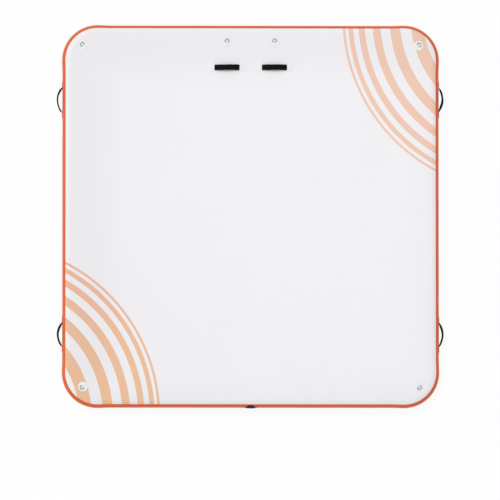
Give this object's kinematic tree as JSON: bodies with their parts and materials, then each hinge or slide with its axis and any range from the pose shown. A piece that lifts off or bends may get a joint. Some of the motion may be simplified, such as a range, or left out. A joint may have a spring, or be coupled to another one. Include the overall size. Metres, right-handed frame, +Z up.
{
  "type": "inflatable dock",
  "caption": "Square drop-stitch inflatable swim dock with rounded corners, an orange side rail, tie-down D-rings, padded grab handles and a capped air valve.",
  "frame": {"origin": "middle of the flat underside, on the surface that the dock rests on", "axes": "+Z up out of the deck; +Y towards the edge with the ladder D-rings and deck handles, so the air valve is in the -Y edge; +X to the right, across the side handles"},
  "size_m": [3.0826, 3.057, 0.1773],
  "materials": {
    "deck_pvc": "white PVC-coated fabric, fine matt grain",
    "bottom_pvc": "light grey PVC-coated fabric",
    "rail_pvc": "orange PVC-coated fabric, soft sheen",
    "drop_stitch_fabric": "woven polyester",
    "white_webbing": "woven webbing",
    "black_webbing": "woven webbing",
    "neoprene": "knit-faced neoprene",
    "ring_steel": "polished stainless wire",
    "spring_steel": "drawn spring wire",
    "valve_rubber": "matt",
    "valve_plastic": "moulded, blue-black, satin",
    "nut_plastic": "moulded, black, satin"
  },
  "bodies": {
    "dock": {"deck_sheet": "deck_pvc", "bottom_sheet": "bottom_pvc", "drop_stitch_core": "drop_stitch_fabric", "inner_rail_band": "deck_pvc", "outer_rail_band": "rail_pvc", "ring_patch_rear_right": "deck_pvc", "ring_loop_rear_right": "white_webbing", "ring_patch_rear_left": "deck_pvc", "ring_loop_rear_left": "white_webbing", "ring_patch_front_left": "deck_pvc", "ring_loop_front_left": "white_webbing", "ring_patch_front_right": "deck_pvc", "ring_loop_front_right": "white_webbing", "ring_patch_ladder_left": "deck_pvc", "ring_loop_ladder_left": "white_webbing", "ring_patch_ladder_right": "deck_pvc", "ring_loop_ladder_right": "white_webbing", "deck_handle_left_strap": "black_webbing", "deck_handle_left_sleeve": "neoprene", "deck_handle_left_patch_a": "deck_pvc", "deck_handle_left_patch_b": "deck_pvc", "deck_handle_right_strap": "black_webbing", "deck_handle_right_sleeve": "neoprene", "deck_handle_right_patch_a": "deck_pvc", "deck_handle_right_patch_b": "deck_pvc", "side_handle_rear_right_strap": "black_webbing", "side_handle_rear_right_sleeve": "neoprene", "side_handle_rear_right_patch_a": "rail_pvc", "side_handle_rear_right_patch_b": "rail_pvc", "side_handle_front_right_strap": "black_webbing", "side_handle_front_right_sleeve": "neoprene", "side_handle_front_right_patch_a": "rail_pvc", "side_handle_front_right_patch_b": "rail_pvc", "side_handle_rear_left_strap": "black_webbing", "side_handle_rear_left_sleeve": "neoprene", "side_handle_rear_left_patch_a": "rail_pvc", "side_handle_rear_left_patch_b": "rail_pvc", "side_handle_front_left_strap": "black_webbing", "side_handle_front_left_sleeve": "neoprene", "side_handle_front_left_patch_a": "rail_pvc", "side_handle_front_left_patch_b": "rail_pvc", "valve_disc": "valve_rubber", "valve_gasket": "valve_rubber", "valve_housing": "valve_plastic", "valve_nut": "nut_plastic", "valve_spring": "spring_steel", "valve_cap_tether": "nut_plastic"},
    "ring_rear_right": {"d_ring_rear_right": "ring_steel"},
    "ring_rear_left": {"d_ring_rear_left": "ring_steel"},
    "ring_front_left": {"d_ring_front_left": "ring_steel"},
    "ring_front_right": {"d_ring_front_right": "ring_steel"},
    "ring_ladder_left": {"d_ring_ladder_left": "ring_steel"},
    "ring_ladder_right": {"d_ring_ladder_right": "ring_steel"},
    "valve_flap": {"valve_diaphragm": "valve_rubber"},
    "valve_stem_body": {"valve_stem": "nut_plastic"},
    "cap_seal": {"valve_cap_seal": "valve_rubber"},
    "cap": {"valve_cap": "valve_plastic"}
  },
  "joints": [
    {"name": "ring_swing_rear_right", "type": "hinge", "parent": "dock", "child": "ring_rear_right", "pos_m": [1.33741, 1.36241, 0.1544], "axis": [0.7071, -0.7071, 0], "range_deg": [0, 170]},
    {"name": "ring_swing_rear_left", "type": "hinge", "parent": "dock", "child": "ring_rear_left", "pos_m": [-1.33741, 1.36241, 0.1544], "axis": [0.7071, 0.7071, 0], "range_deg": [0, 170]},
    {"name": "ring_swing_front_left", "type": "hinge", "parent": "dock", "child": "ring_front_left", "pos_m": [-1.33741, -1.36241, 0.1544], "axis": [-0.7071, 0.7071, 0], "range_deg": [0, 170]},
    {"name": "ring_swing_front_right", "type": "hinge", "parent": "dock", "child": "ring_front_right", "pos_m": [1.33741, -1.36241, 0.1544], "axis": [-0.7071, -0.7071, 0], "range_deg": [0, 170]},
    {"name": "ring_swing_ladder_left", "type": "hinge", "parent": "dock", "child": "ring_ladder_left", "pos_m": [-0.189, 1.391, 0.1544], "axis": [1, 0, 0], "range_deg": [0, 170]},
    {"name": "ring_swing_ladder_right", "type": "hinge", "parent": "dock", "child": "ring_ladder_right", "pos_m": [0.189, 1.391, 0.1544], "axis": [1, 0, 0], "range_deg": [0, 170]},
    {"name": "plunger_press", "type": "slide", "parent": "dock", "child": "valve_flap", "axis": [0, 1, 0], "range_m": [0, 0.004], "stiffness_N_per_m": 800, "springref_m": -0.003, "deforming": ["valve_spring"]},
    {"name": "plunger_turn", "type": "hinge", "parent": "valve_flap", "child": "valve_stem_body", "pos_m": [0, -1.525, 0.075], "axis": [0, 1, 0], "range_deg": [0, 90]},
    {"name": "cap_lift", "type": "slide", "parent": "dock", "child": "cap_seal", "axis": [0, -1, 0], "range_m": [0, 0.006], "deforming": ["valve_cap_tether"]},
    {"name": "cap_turn", "type": "hinge", "parent": "cap_seal", "child": "cap", "pos_m": [0, -1.525, 0.075], "axis": [0, -1, 0], "range_deg": [0, 720]}
  ],
  "couplings": [
    {"joint": "cap_lift", "follows": "cap_turn", "m_per_rad": 0.00047746}
  ]
}
